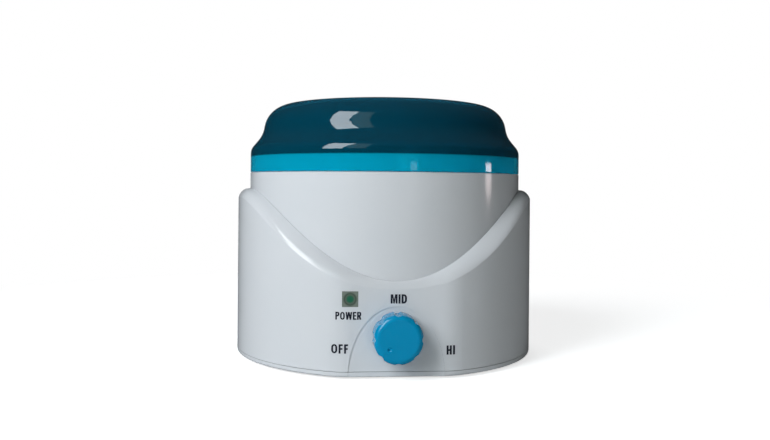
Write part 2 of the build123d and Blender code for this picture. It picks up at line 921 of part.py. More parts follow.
def indicator_lens():
    """Square clear window with a flange behind the shell's wall."""
    half_x = lens_width / 2
    half_z = lens_tall / 2
    back = lens_back()
    lens = block(
        (lamp_x - half_x, lamp_x + half_x),
        (-flat_distance, -back),
        (lamp_height - half_z, lamp_height + half_z),
    )
    lens += block(
        (lamp_x - half_x - lens_flange, lamp_x + half_x + lens_flange),
        (-back - lens_flange_thickness, -back),
        (lamp_height - half_z - lens_flange, lamp_height + half_z + lens_flange),
    )
    return lens


def indicator_lamp():
    """Round lamp with a domed end and a rim at its foot."""
    front = lens_back() - led_gap
    foot = board_front()
    dome = Pos(lamp_x, -front + led_radius, lamp_height) * Sphere(led_radius)
    lamp = along_y(lamp_x, lamp_height, led_radius, -front + led_radius, -foot) + dome
    return lamp + along_y(lamp_x, lamp_height, led_radius + led_rim, -foot - led_rim_length, -foot)


def indicator_board():
    """Small circuit board on two posts."""
    front = board_front()
    top = lamp_height + board_tall / 2 - board_drop
    board = block(
        (lamp_x - board_width / 2, lamp_x + board_width / 2),
        (-front, -front + board_thickness),
        (top - board_tall, top),
    )
    for post_x in lamp_posts():
        hole = small_screw_radius + hole_fit
        board -= along_y(post_x, lamp_post_z(), hole, -front - overcut, -front + board_thickness + overcut)
    return board


def board_screws():
    """Screws of the lamp board."""
    seat = -board_front() + board_thickness
    length = board_thickness + small_thread_depth - overcut
    part = Rot(-90, 0, 0) * screw(small_screw_radius, length, small_head_radius, small_head_height)
    return [Pos(x, seat, lamp_post_z()) * part for x in lamp_posts()]


def under_tag(thickness):
    """Place of a nut under a plate of some thickness on the well's studs."""
    return Pos(0, 0, well_under - thickness - hex_height)


def thermal_fuse():
    """Fuse lying under the well, with a wire at each end."""
    z = well_under - seat_gap - fuse_radius
    half = fuse_length / 2
    fuse = along_x(-half, half, fuse_y, z, fuse_radius)
    fuse = fillet(fuse.edges().filter_by(GeomType.CIRCLE), fuse_radius * 0.3)
    return fuse + along_x(-half - fuse_wire, half + fuse_wire, fuse_y, z, fuse_wire_radius)


def fuse_clip():
    """Strap over the fuse on two studs."""
    z = well_under - seat_gap - fuse_radius
    inner = fuse_radius + clip_fit
    outer = inner + clip_thickness
    low = z
    band = Circle(outer) - Circle(inner)
    band = band & Pos(0, -outer) * Rectangle(4 * outer, 2 * outer)
    sides = Rectangle(2 * outer, well_under - low, align=(Align.CENTER, Align.MIN))
    sides -= Rectangle(2 * inner, well_under - low, align=(Align.CENTER, Align.MIN))
    flange = Pos(0, well_under - low - clip_thickness / 2) * Rectangle(2 * clip_reach, clip_thickness)
    flange -= Rectangle(2 * inner, 4 * outer)
    strap = extrude(band + sides + flange, clip_width / 2, both=True)
    clip = Pos(0, fuse_y, low) * (Plane.YZ * strap)
    for spot in stud_spots()[2:4]:
        clip -= spot * cylinder(clear_radius, well_under - clip_thickness - overcut, well_under + overcut)
    return clip


def fuse_nuts():
    """Nuts of the fuse clip."""
    return [spot * under_tag(clip_thickness) * hex_nut() for spot in stud_spots()[2:4]]


def earth_tag():
    """Ring tag on the earth stud."""
    tag = Circle(tag_radius) + Pos(tag_length / 2, 0) * Rectangle(tag_length, tag_radius)
    tag -= Circle(clear_radius)
    return stud_spots()[4] * prism(tag, well_under - tab_thickness, well_under)


def earth_nut():
    """Nut of the earth tag."""
    return stud_spots()[4] * under_tag(tab_thickness) * hex_nut()


def terminal_block():
    """Three-way block with wire bores and screw wells."""
    low = block_bottom()
    high = low + block_height
    half = block_length / 2
    half_y = block_width / 2
    body = block((block_x - half, block_x + half), (block_y - half_y, block_y + half_y), (low, high))
    body = fillet(body.edges().filter_by(Axis.Z), block_edge_round)
    middle = bore_level()
    for way in (-1, 0, 1):
        x = block_x + way * block_pitch
        body -= along_y(x, middle, block_bore, block_y - half_y - overcut, block_y + half_y + overcut)
        for row in (-1, 1):
            spot = Pos(x, block_y + row * block_screw_row, 0)
            body -= spot * cylinder(thread_radius, middle, high + overcut)
    for post_x in block_posts():
        body -= Pos(post_x, block_y, 0) * cylinder(clear_radius, low - overcut, high + overcut)
    return body


def bore_level():
    """Height of the block's wire bores."""
    return block_bottom() + block_height / 2 - block_bore_drop


def wire_screws():
    """Six grub screws in the terminal block."""
    top = block_bottom() + block_height - grub_drop
    grub = cylinder(screw_radius, bore_level() + block_bore + grub_gap, top)
    grub -= Pos(0, 0, top) * Box(drive_width, 2 * screw_radius, 2 * grub_slot)
    across = [block_x + number * block_pitch for number in (-1, 0, 1)]
    along = [block_y - block_screw_row, block_y + block_screw_row]
    return [Pos(x, y, 0) * grub for x in across for y in along]


def block_screws():
    """Two screws through the block into the plate's posts."""
    top = block_bottom() + block_height
    length = block_height + block_lift - overcut
    part = Pos(0, 0, top) * screw(screw_radius, length, narrow_head_radius, screw_head_height)
    return [Pos(x, block_y, 0) * part for x in block_posts()]


def cord_gland():
    """Rubber bushing in the back wall for the power cord."""
    outside = base_radius + gland_flange_gap
    inside = base_radius - shell_wall - gland_inner_gap
    neck = along_y(0, gland_height, gland_neck, inside - fuse_overlap, outside + fuse_overlap)
    front = along_y(0, gland_height, gland_flange, outside, outside + gland_flange_thickness)
    front = fillet(front.edges().sort_by(Axis.Y)[-1], gland_flange_thickness / 2)
    back = along_y(0, gland_height, gland_flange, inside - gland_flange_thickness, inside)
    gland = neck + front + back
    start = inside - gland_flange_thickness - overcut
    end = outside + gland_flange_thickness + overcut
    return gland - along_y(0, gland_height, gland_bore, start, end)


def wire(points):
    """Insulated wire: straight runs joined by the largest arcs that the runs allow."""
    spots = [Vector(*point) for point in points]
    radii = []
    for before, here, after in zip(spots, spots[1:], spots[2:]):
        shorter = min((here - before).length, (after - here).length)
        half_turn = radians((here - before).get_angle(after - here)) / 2
        radii.append(wire_bend_share * shorter / tan(half_turn))
    path = FilletPolyline(*points, radius=radii)
    return sweep(Plane(origin=path @ 0, z_dir=path % 0) * Circle(wire_radius), path=path)


def way(number, side):
    """Point inside one of the block's bores, at its front (-1) or back (+1) end."""
    return (
        block_x + number * block_pitch,
        block_y + side * block_screw_row,
        bore_level(),
    )


def way_entry(number, side):
    """Point in front of a bore, in line with it."""
    x, y, z = way(number, side)
    return (x, y + side * block_width, z)


def heater_leads():
    """Wires from the heater band to the terminal block and to the fuse."""
    lead_y = sqrt((well_outer + heater_fit + heater_thickness / 2) ** 2 - lead_x**2)
    start_z = heater_bottom - wire_end_gap
    fuse_end = fuse_length / 2 + fuse_wire + wire_end_gap
    fuse_z = well_under - seat_gap - fuse_radius
    to_block = [
        (lead_x, lead_y, start_z),
        (lead_x, lead_y, start_z - 11 * route_pitch),
        way_entry(-1, 1),
        way(-1, 1),
    ]
    to_fuse = [
        (-lead_x, lead_y, start_z),
        (-lead_x, lead_y - route_pitch / 2, start_z - 10 * route_pitch),
        (-lead_x - 6 * route_pitch, fuse_y + 10 * route_pitch, fuse_z - 6 * route_pitch),
        (-fuse_end - 6 * route_pitch, fuse_y, fuse_z - route_pitch / 2),
        (-fuse_end, fuse_y, fuse_z),
    ]
    return [wire(to_block), wire(to_fuse)]


def tab_end(side):
    """Point behind one of the thermostat's tabs."""
    back = bracket_front - bracket_thickness
    return (side * body_width / 4, -back + body_depth + tab_length + wire_end_gap, knob_height)


def switch_lead():
    """Wire from the fuse to the thermostat."""
    fuse_end = fuse_length / 2 + fuse_wire + wire_end_gap
    fuse_z = well_under - seat_gap - fuse_radius
    x, y, z = tab_end(1)
    return wire(
        [
            (fuse_end, fuse_y, fuse_z),
            (fuse_end + 5 * route_pitch, fuse_y - route_pitch / 2, fuse_z - route_pitch / 2),
            (fuse_end + 4 * route_pitch, fuse_y - 6 * route_pitch, fuse_z - 12 * route_pitch),
            (x + route_pitch, y + 11 * route_pitch, z + route_pitch / 2),
            (x, y, z),
        ]
    )


def supply_lead():
    """Wire from the terminal block to the thermostat."""
    x, y, z = tab_end(-1)
    bend = (x + 2 * route_pitch, y + 13 * route_pitch, z - 2.5 * route_pitch)
    return wire([way(0, -1), way_entry(0, -1), bend, (x, y, z)])


def earth_lead():
    """Wire from the terminal block to the earth tag."""
    tag_x = earth_x + tag_length + wire_end_gap
    tag_z = well_under - wire_radius - seat_gap
    return wire(
        [
            way(1, -1),
            way_entry(1, -1),
            (tag_x + 6 * route_pitch, earth_y + 8 * route_pitch, tag_z - 11 * route_pitch),
            (tag_x + 5 * route_pitch, earth_y, tag_z - 2 * route_pitch),
            (tag_x, earth_y, tag_z),
        ]
    )


def lamp_leads():
    """Two wires from the lamp's board to the terminal block."""
    start_y = -board_front() + board_thickness + wire_end_gap
    level = way(0, 1)[2]
    first = [
        (lamp_x - route_pitch, start_y, lamp_height - 2.5 * route_pitch),
        (lamp_x - route_pitch, start_y + 6 * route_pitch, lamp_height - 3 * route_pitch),
        (lamp_x - 2 * route_pitch, start_y + 15 * route_pitch, level + route_pitch),
        (-3 * route_pitch, 6 * route_pitch, level - route_pitch),
        way_entry(-1, -1),
        way(-1, -1),
    ]
    second = [
        (lamp_x + route_pitch, start_y, lamp_height - 2.5 * route_pitch),
        (lamp_x - route_pitch / 2, start_y + 7 * route_pitch, lamp_height - 3 * route_pitch),
        (-18 * route_pitch, -11 * route_pitch, level),
        (-17 * route_pitch, 13 * route_pitch, level - route_pitch / 2),
        (-3 * route_pitch, 28 * route_pitch, level - route_pitch),
        (13 * route_pitch, 30 * route_pitch, level - route_pitch / 2),
        way_entry(1, 1),
        way(1, 1),
    ]
    return [wire(first), wire(second)]


pieces = {
    "lid": lid(),
    "wax_pot": wax_pot(),
    "upper_housing": upper_housing(),
    "base_housing": base_housing(),
    "base_plate": base_plate(),
    "rubber_feet": rubber_feet(),
    "base_screws": base_screws(),
    "heating_well": heating_well(),
    "well_seal": well_seal(),
    "well_screws": well_screw_set(),
    "heater_band": heater_band(),
    "band_clamp": band_clamp(),
    "clamp_screw": clamp_screw(),
    "clamp_nut": clamp_nut(),
    "insulation_sleeve": insulation_sleeve(),
    "thermostat_bracket": thermostat_bracket(),
    "bracket_nuts": bracket_nuts(),
    "thermostat_body": thermostat_body(),
    "thermostat_washer": thermostat_washer(),
    "thermostat_nut": thermostat_nut(),
    "thermostat_shaft": thermostat_shaft(),
    "knob": knob(),
    "indicator_lens": indicator_lens(),
    "indicator_lamp": indicator_lamp(),
    "indicator_board": indicator_board(),
    "board_screws": board_screws(),
    "thermal_fuse": thermal_fuse(),
    "fuse_clip": fuse_clip(),
    "fuse_nuts": fuse_nuts(),
    "earth_tag": earth_tag(),
    "earth_nut": earth_nut(),
    "terminal_block": terminal_block(),
    "wire_screws": wire_screws(),
    "block_screws": block_screws(),
    "cord_gland": cord_gland(),
    "heater_leads": heater_leads(),
    "switch_lead": switch_lead(),
    "supply_lead": supply_lead(),
    "earth_lead": earth_lead(),
    "lamp_leads": lamp_leads(),
}

os.makedirs("parts", exist_ok=True)
for name, shape in pieces.items():
    solids = shape if isinstance(shape, list) else [shape]
    solids = [solid for item in solids for solid in item.solids()]
    whole = solids[0] if len(solids) == 1 else Compound(children=solids)
    export_step(whole, f"parts/{name}.step")
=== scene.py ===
import math
import bpy
import numpy as np
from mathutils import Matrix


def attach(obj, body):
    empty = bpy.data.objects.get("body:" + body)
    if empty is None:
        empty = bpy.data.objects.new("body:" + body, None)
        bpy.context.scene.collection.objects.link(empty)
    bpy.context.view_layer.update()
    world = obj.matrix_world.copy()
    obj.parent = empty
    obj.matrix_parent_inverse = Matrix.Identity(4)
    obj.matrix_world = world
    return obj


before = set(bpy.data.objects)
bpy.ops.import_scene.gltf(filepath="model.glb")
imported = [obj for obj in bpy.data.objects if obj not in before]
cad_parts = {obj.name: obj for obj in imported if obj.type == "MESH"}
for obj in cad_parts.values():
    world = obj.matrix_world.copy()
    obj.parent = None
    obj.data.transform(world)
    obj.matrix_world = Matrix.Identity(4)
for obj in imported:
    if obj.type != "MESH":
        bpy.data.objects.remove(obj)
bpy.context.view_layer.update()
print("stage: frame loaded,", len(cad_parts), "nodes")

mm = 0.001
scene = bpy.context.scene
scene.view_settings.view_transform = "Standard"


def linear(hexColour):
    # sRGB hex to linear: below 0.04045 divide by 12.92, else ((c + 0.055) / 1.055) ^ 2.4
    values = [int(hexColour[i:i + 2], 16) / 255 for i in (1, 3, 5)]
    return tuple(v / 12.92 if v <= 0.04045 else ((v + 0.055) / 1.055) ** 2.4 for v in values) + (1.0,)


def addNode(tree, kind, settings=None, links=None):
    # settings holds socket values or node properties; links names each socket, or gives its number, with the
    # output that feeds it
    node = tree.nodes.new(kind)
    for name, value in (settings or {}).items():
        if isinstance(name, int) or name in node.inputs:
            node.inputs[name].default_value = value
        else:
            setattr(node, name, value)
    for name, output in (links or {}).items():
        tree.links.new(output, node.inputs[name])
    return node


def newMaterial(name, values):
    # an empty material with one Principled shader wired to the output
    material = bpy.data.materials.new(name)
    material.use_nodes = True
    tree = material.node_tree
    tree.nodes.clear()
    shader = addNode(tree, "ShaderNodeBsdfPrincipled", values)
    addNode(tree, "ShaderNodeOutputMaterial", links={"Surface": shader.outputs["BSDF"]})
    return material, tree, shader


def noiseAt(tree, sizeMm, detail=2.0, stretch=(1, 1, 1)):
    # noise on Object coordinates whose lumps are about sizeMm across, drawn out along an axis by stretch
    place = addNode(tree, "ShaderNodeTexCoord")
    turned = addNode(tree, "ShaderNodeMapping", {"Scale": stretch}, {"Vector": place.outputs["Object"]})
    noise = addNode(tree, "ShaderNodeTexNoise", {"Scale": 1 / (sizeMm * mm), "Detail": detail},
                    {"Vector": turned.outputs["Vector"]})
    return noise.outputs["Fac"]


# a Mix node's colour inputs and its colour output go by number, because other sockets share their names
mixFirst, mixSecond, mixColour = 6, 7, 2


def blendColours(tree, factor, first, second):
    # first where factor is 0 and second where it is 1, both sRGB hex, mixed in linear light between
    mix = addNode(tree, "ShaderNodeMix", {
        "data_type": "RGBA", mixFirst: linear(first), mixSecond: linear(second)}, {0: factor})
    return mix.outputs[mixColour]


def addBump(tree, shader, height, depthMm):
    bump = addNode(tree, "ShaderNodeBump", {"Distance": depthMm * mm}, {"Height": height})
    tree.links.new(bump.outputs["Normal"], shader.inputs["Normal"])


flowMarksMm = 18.0   # size of the faint cloudiness in moulded plastic


def mouldedPlastic(name, sheen, shade, roughness, peelMm, peelDepthMm, ior):
    # flow marks a little darker than the rest, and a faint orange peel from the mould
    material, tree, shader = newMaterial(name, {"Roughness": roughness, "IOR": ior})
    tree.links.new(blendColours(tree, noiseAt(tree, flowMarksMm), sheen, shade), shader.inputs["Base Color"])
    addBump(tree, shader, noiseAt(tree, peelMm, 1.0), peelDepthMm)
    return material


# gloss ABS, injection moulded: a cool white with sharp window reflections
glossAbs = mouldedPlastic("gloss white ABS", "#E4E6EA", "#E0E3E8", 0.13, 2.5, 0.004, 1.53)
# blue ABS in a polished mould: softer lights than the housing
blueAbs = mouldedPlastic("blue ABS", "#009ACC", "#0093C4", 0.17, 0.9, 0.005, 1.53)
# black rubber, moulded matt
blackRubber = mouldedPlastic("moulded rubber", "#26272A", "#1F2022", 0.7, 0.6, 0.03, 1.52)
# silicone gasket: matt red, a little waxy
redSilicone = mouldedPlastic("silicone rubber", "#A0402F", "#8F3526", 0.6, 0.8, 0.02, 1.43)
# nylon as moulded, undyed: creamy and half matt
nylon = mouldedPlastic("natural nylon", "#E8E6DC", "#DEDBCF", 0.45, 1.2, 0.01, 1.53)
# steatite, pressed and fired: dry cream ceramic
steatite = mouldedPlastic("steatite ceramic", "#DDD8C8", "#D2CCBA", 0.65, 0.5, 0.02, 1.6)
# silicone wire sleeve, extruded: brick red with a soft shine
wireSilicone = mouldedPlastic("silicone wire sleeve", "#8C2A22", "#7F241D", 0.5, 1.5, 0.01, 1.43)
# mica board: flaky brown grey with a dull glitter
micaBoard = mouldedPlastic("mica heater board", "#958B76", "#847A64", 0.55, 1.0, 0.05, 1.58)
# glass fibre braid: dry white with a fine rough surface
glassSleeve = mouldedPlastic("braided glass fibre", "#E2DFD2", "#CFCBBB", 0.8, 0.8, 0.2, 1.5)
# glass epoxy under green lacquer
circuitBoard = mouldedPlastic("glass epoxy board", "#2C5B38", "#26512F", 0.35, 1.0, 0.01, 1.55)
# pad-printed ink: navy, nearly black, with a dull edge to its shine
printInk = mouldedPlastic("pad printed ink", "#16182A", "#1B1E30", 0.4, 0.4, 0.004, 1.5)


def metal(name, bright, dull, roughness, grainMm, stretch, depthMm, mirrorShare=1.0):
    # grain in colour and height from one noise, drawn out where the metal was spun; the share that doesn't
    # mirror scatters
    material, tree, shader = newMaterial(name, {"Roughness": roughness, "Metallic": mirrorShare})
    grain = noiseAt(tree, grainMm, 3.0, stretch)
    tree.links.new(blendColours(tree, grain, bright, dull), shader.inputs["Base Color"])
    addBump(tree, shader, grain, depthMm)
    return material


# spun and etched aluminium: pale satin, with rings round the axis that blur what it mirrors
spunAluminium = metal("etched aluminium", "#E4E6E8", "#D2D5D8", 0.38, 0.8, (0.15, 0.15, 2.0), 0.01, 0.45)
# zinc plate on pressed steel: grey with a faint cloudy spangle
zincSteel = metal("zinc plated steel", "#C9CBCE", "#B0B3B7", 0.36, 0.7, (1, 1, 1), 0.005, 0.7)
# turned brass: warm yellow, clean
machinedBrass = metal("machined brass", "#CDB27A", "#B99B62", 0.28, 0.5, (1, 1, 1), 0.004)


waveSpanMm = 25.6   # a diagonal wave repeats after 0.63 of this along an axis, here 16 mm


def earthWire():
    # green sleeve with slanting yellow bands, from a wave texture that follows x + y + z
    material, tree, shader = newMaterial("green and yellow sleeve", {"Roughness": 0.45, "IOR": 1.54})
    place = addNode(tree, "ShaderNodeTexCoord")
    stripes = addNode(tree, "ShaderNodeTexWave", {
        "bands_direction": "DIAGONAL", "Scale": 1 / (waveSpanMm * mm)}, {"Vector": place.outputs["Object"]})
    banded = blendColours(tree, stripes.outputs["Fac"], "#2F7A33", "#C9B629")
    tree.links.new(banded, shader.inputs["Base Color"])
    return material


earthSleeve = earthWire()


def greenLamp():
    # diffused green epoxy: it glows a little by itself, as a lit lamp does in a bright room
    material, tree, shader = newMaterial("green lamp epoxy", {"Roughness": 0.25, "IOR": 1.54})
    tree.links.new(blendColours(tree, noiseAt(tree, 1.5), "#1F9A5C", "#178048"), shader.inputs["Base Color"])
    shader.inputs["Emission Color"].default_value = linear("#0E8048")
    shader.inputs["Emission Strength"].default_value = 0.25
    return material


lampEpoxy = greenLamp()


lensSizes = {
    "middle": (-22.5, 38.6),     # x and z of the lens, mm
    "paintedGlow": 1.3,                 # radius of the painted glow: the green spot that the lamp makes in it, painted into the lens's colour
    "faded": 2.21,               # radius where the painted green glow has faded to grey
    "paintedShadeRing": 2.7,                  # radius of the painted dark ring: painted shade of the round body behind the square face
    "corner": 3.6,               # from here out only the frosted corners
}


def frostedLensWithPaintedGlow(sizes):
    # frosted polycarbonate over a round lamp: a grey square with pale corners, a painted green glow in the
    # middle where the lamp shines through, and a painted dark ring, painted shade of the lamp's round body
    # behind; colour follows the distance from the lens's middle
    material, tree, shader = newMaterial("frosted polycarbonate with painted glow", {
        "Roughness": 0.1, "IOR": 1.58, "Transmission Weight": 0.3})
    place = addNode(tree, "ShaderNodeTexCoord")
    middleX, middleZ = sizes["middle"]
    centred = addNode(tree, "ShaderNodeMapping", {
        "Location": (-middleX * mm, 0, -middleZ * mm)}, {"Vector": place.outputs["Object"]})
    across = addNode(tree, "ShaderNodeVectorMath", {"operation": "MULTIPLY", 1: (1, 0, 1)},
                     {0: centred.outputs["Vector"]})
    radius = addNode(tree, "ShaderNodeVectorMath", {"operation": "LENGTH"}, {0: across.outputs["Vector"]})
    share = addNode(tree, "ShaderNodeMapRange", {"From Max": sizes["corner"] * mm},
                    {"Value": radius.outputs["Value"]})
    rings = addNode(tree, "ShaderNodeValToRGB", links={"Fac": share.outputs["Result"]})
    stops = rings.color_ramp.elements
    # the ramp paints light and shade into the base colour: the lamp's green glow in the middle and a dark
    # ring of shade
    stops[0].position, stops[0].color = 0.0, linear("#2E8263")
    stops[1].position, stops[1].color = 1.0, linear("#98A298")
    for ring, colour in (("paintedGlow", "#3C8266"), ("faded", "#748276"), ("paintedShadeRing", "#5C695F")):
        stop = stops.new(sizes[ring] / sizes["corner"])
        stop.color = linear(colour)
    tree.links.new(rings.outputs["Color"], shader.inputs["Base Color"])
    return material


lensFrostAndPaintedGlow = frostedLensWithPaintedGlow(lensSizes)


lidTintAndPaintedLightSizes = {
    "paintedLightTop": 108.0,     # height up to which the skirt's painted light runs: a bright tint standing in for the lit white collar behind, mm
    "tintAndPaintedShadeFrom": 108.8,     # height from which the lid is dark: its tint with painted shade of the dim inside, mm
}


def tintedLidWithPaintedLight(sizes):
    # tinted SAN, one teal tint all over in the real lid; here the colour follows the height: the dark teal
    # from the waist up is partly the tint and partly painted shade of the dim inside, and the bright tint in
    # the skirt is painted light of the white collar close behind it
    material, tree, shader = newMaterial("tinted SAN with painted light and shade", {
        "Roughness": 0.03, "IOR": 1.57, "Transmission Weight": 0.55})
    place = addNode(tree, "ShaderNodeTexCoord")
    split = addNode(tree, "ShaderNodeSeparateXYZ", links={"Vector": place.outputs["Object"]})
    level = addNode(tree, "ShaderNodeMapRange", {
        "From Min": sizes["paintedLightTop"] * mm, "From Max": sizes["tintAndPaintedShadeFrom"] * mm}, {
        "Value": split.outputs["Z"]})
    # painted light in the skirt and painted shade above it, laid into the base colour by height
    tintAndPaintedLight = blendColours(tree, level.outputs["Result"], "#00CDEE", "#005972")
    tree.links.new(tintAndPaintedLight, shader.inputs["Base Color"])
    return material


lidTintAndPaintedLight = tintedLidWithPaintedLight(lidTintAndPaintedLightSizes)

finishOf = {
    "lid": lidTintAndPaintedLight, "wax_pot": spunAluminium, "upper_housing": glossAbs, "base_housing": glossAbs,
    "base_plate": glossAbs, "rubber_feet": blackRubber, "base_screws": zincSteel,
    "heating_well": spunAluminium, "well_seal": redSilicone, "well_screws": zincSteel,
    "heater_band": micaBoard, "band_clamp": zincSteel,
    "clamp_screw": zincSteel, "clamp_nut": zincSteel, "insulation_sleeve": glassSleeve,
    "thermostat_bracket": zincSteel, "bracket_nuts": zincSteel, "thermostat_body": steatite,
    "thermostat_washer": zincSteel, "thermostat_nut": machinedBrass, "thermostat_shaft": machinedBrass,
    "knob": blueAbs, "indicator_lens": lensFrostAndPaintedGlow, "indicator_lamp": lampEpoxy,
    "indicator_board": circuitBoard, "board_screws": zincSteel, "thermal_fuse": zincSteel,
    "fuse_clip": zincSteel, "fuse_nuts": zincSteel,
    "earth_tag": machinedBrass, "earth_nut": zincSteel, "terminal_block": nylon, "wire_screws": machinedBrass,
    "block_screws": zincSteel, "cord_gland": blackRubber, "heater_leads": wireSilicone,
    "switch_lead": wireSilicone, "supply_lead": wireSilicone, "earth_lead": earthSleeve,
    "lamp_leads": wireSilicone,
}
for name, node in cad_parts.items():
    node.data.materials.clear()
    node.data.materials.append(finishOf[name])
print("stage: finishes on", len(finishOf), "nodes")

# the words beside the knob and the lamp, printed on the shell in a bold narrow face
legendSizes = {
    # piece: middle x, middle z, height, stroke, then each letter with its width and the gaps between them, mm
    "legend_mid": (0.8, 38.7, 4.4, 0.96, (("M", 3.25), ("I", 0.96), ("D", 2.6)), 0.5),
    "legend_power": (-23.3, 30.7, 3.7, 0.7,
                     (("P", 1.85), ("O", 2.2), ("W", 3.1), ("E", 1.65), ("R", 1.95)), 0.38),
    "legend_off": (-27.3, 14.9, 4.4, 0.9, (("O", 2.85), ("F", 1.95), ("F", 1.85)), 0.65),
    "legend_hi": (26.2, 14.0, 4.4, 0.96, (("H", 2.55), ("I", 0.96)), 0.65),
}
printSizes = {
    "proud": 0.06,         # ink above the skin, mm
    "sunk": 0.10,          # and below it
    "halfDepth": 0.1,      # half the depth of the flat outline before its two faces are moved to the skin
    "samePoint": 1e-6,     # points nearer than this are one point
    "arcPoints": 9,        # on each quarter of an ellipse
    "bar": 0.86,           # a level stroke is thinner than an upright one by this
    "flatHalf": 22.3,      # the front flat runs this far to each side
    "flatY": -78.0,
    "blendRadius": 25.0,   # and then turns into the round side
}
letterShares = {
    "waist": 0.42,         # of the height: the middle bar of F, P and R, and the bottom of M's notch
    "shortBar": 0.92,      # of the width: the shorter bars of E and F
    "postM": 0.9,          # of the stroke: M's uprights
    "footM": 0.3,          # of the stroke: half of M's middle foot
    "shoulderM": 1.2,      # of the stroke: M's shoulders
    "slopeM": 0.7,         # of the height: where M's slopes leave its uprights
    "roundD": 0.62,        # of the width: D's corners
    "roundHigh": 0.36,     # of the height: the corners of D and O
    "bowlWide": 0.45,      # of the width: the corners of P and R
    "bowlHigh": 0.2,       # of the height: the same corners
    "bowlHole": 0.6,       # of the stroke: what the hole's corners lose
    "legStart": 0.4,       # of the width: where R's leg leaves the bowl
    "legBack": 1.1,        # of the stroke: the leg's inner foot, from the right
    "legOut": 0.05,        # of the stroke: the leg's outer foot, past the right
    "legWide": 1.15,       # of the stroke: the leg's width where it starts
}


def frontSkin(x, sizes):
    # distance of the shell's front from the axis: the flat, then a circle of blendRadius tangent to it
    over = np.maximum(np.abs(x) - sizes["flatHalf"], 0)
    radius = sizes["blendRadius"]
    return sizes["flatY"] + radius - np.sqrt(radius ** 2 - over ** 2)


def quarter(middleX, middleY, radiusX, radiusY, start):
    # a quarter of an ellipse, counterclockwise from start degrees: middle plus radii times cosine and sine
    angle = np.radians(np.linspace(start, start + 90, printSizes["arcPoints"]))
    return [(middleX + radiusX * c, middleY + radiusY * s) for c, s in zip(np.cos(angle), np.sin(angle))]


def bowl(left, right, low, high, roundX, roundY):
    # a loop that is square on its left and has two elliptic corners on its right
    return ([(left, low)] + quarter(right - roundX, low + roundY, roundX, roundY, -90)
            + quarter(right - roundX, high - roundY, roundX, roundY, 0) + [(left, high)])


def oval(middleX, low, high, radiusX, radiusY):
    # two half ellipses, centred at the heights low and high, with upright sides between them
    quarters = ((low, 180), (low, 270), (high, 0), (high, 90))
    return [p for level, start in quarters for p in quarter(middleX, level, radiusX, radiusY, start)]


def letterLoops(letter, w, h, s, share):
    # outlines of one capital of width w, height h and stroke s, the outer one first and then its hole
    b = s * printSizes["bar"]
    low, high = (h - b) / 2, (h + b) / 2
    waist, shortBar = share["waist"] * h, share["shortBar"] * w
    if letter == "I":
        return [[(0, 0), (w, 0), (w, h), (0, h)]]
    if letter == "H":
        return [[(0, 0), (s, 0), (s, low), (w - s, low), (w - s, 0), (w, 0),
                 (w, h), (w - s, h), (w - s, high), (s, high), (s, h), (0, h)]]
    if letter == "F":
        return [[(0, 0), (s, 0), (s, waist), (shortBar, waist), (shortBar, waist + b),
                 (s, waist + b), (s, h - b), (w, h - b), (w, h), (0, h)]]
    if letter == "E":
        return [[(0, 0), (w, 0), (w, b), (s, b), (s, low), (shortBar, low), (shortBar, high), (s, high),
                 (s, h - b), (w, h - b), (w, h), (0, h)]]
    if letter == "M":
        post, foot, shoulder = share["postM"] * s, share["footM"] * s, share["shoulderM"] * s
        slope = share["slopeM"] * h
        return [[(0, 0), (post, 0), (post, slope), (w / 2 - foot, 0), (w / 2 + foot, 0), (w - post, slope),
                 (w - post, 0), (w, 0), (w, h), (w - shoulder, h), (w / 2, waist), (shoulder, h), (0, h)]]
    if letter == "W":
        foot = w / 4 - s / 2
        inner = h * (w / 2 - foot - s) / (w / 2 - foot - s / 2)
        outer = h * 2 * s / (w - s)
        lean = foot * outer / h
        return [[(0, h), (foot, 0), (foot + s, 0), (w / 2, inner), (w - foot - s, 0), (w - foot, 0), (w, h),
                 (w - s, h), (w - foot - s + lean, outer), (w / 2 + s / 2, h), (w / 2 - s / 2, h),
                 (foot + s - lean, outer), (s, h)]]
    roundY = share["roundHigh"] * h
    if letter == "D":
        roundX = share["roundD"] * w
        return [bowl(0, w, 0, h, roundX, roundY), bowl(s, w - s, b, h - b, roundX - s, roundY - b)]
    if letter == "O":
        return [oval(w / 2, roundY, h - roundY, w / 2, roundY),
                oval(w / 2, roundY, h - roundY, w / 2 - s, roundY - b)]
    bowlX, bowlY, loss = share["bowlWide"] * w, share["bowlHigh"] * h, share["bowlHole"]
    hole = bowl(s, w - s, waist + b, h - b, bowlX - s * loss, bowlY - b * loss)
    top = bowl(0, w, waist, h, bowlX, bowlY)[1:]
    if letter == "P":
        return [[(0, 0), (s, 0), (s, waist)] + top, hole]
    legX, back, out, wide = share["legStart"] * w, share["legBack"], share["legOut"], share["legWide"]
    return [[(0, 0), (s, 0), (s, waist), (legX, waist), (w - back * s, 0), (w + out * s, 0),
             (legX + wide * s, waist)] + top, hole]


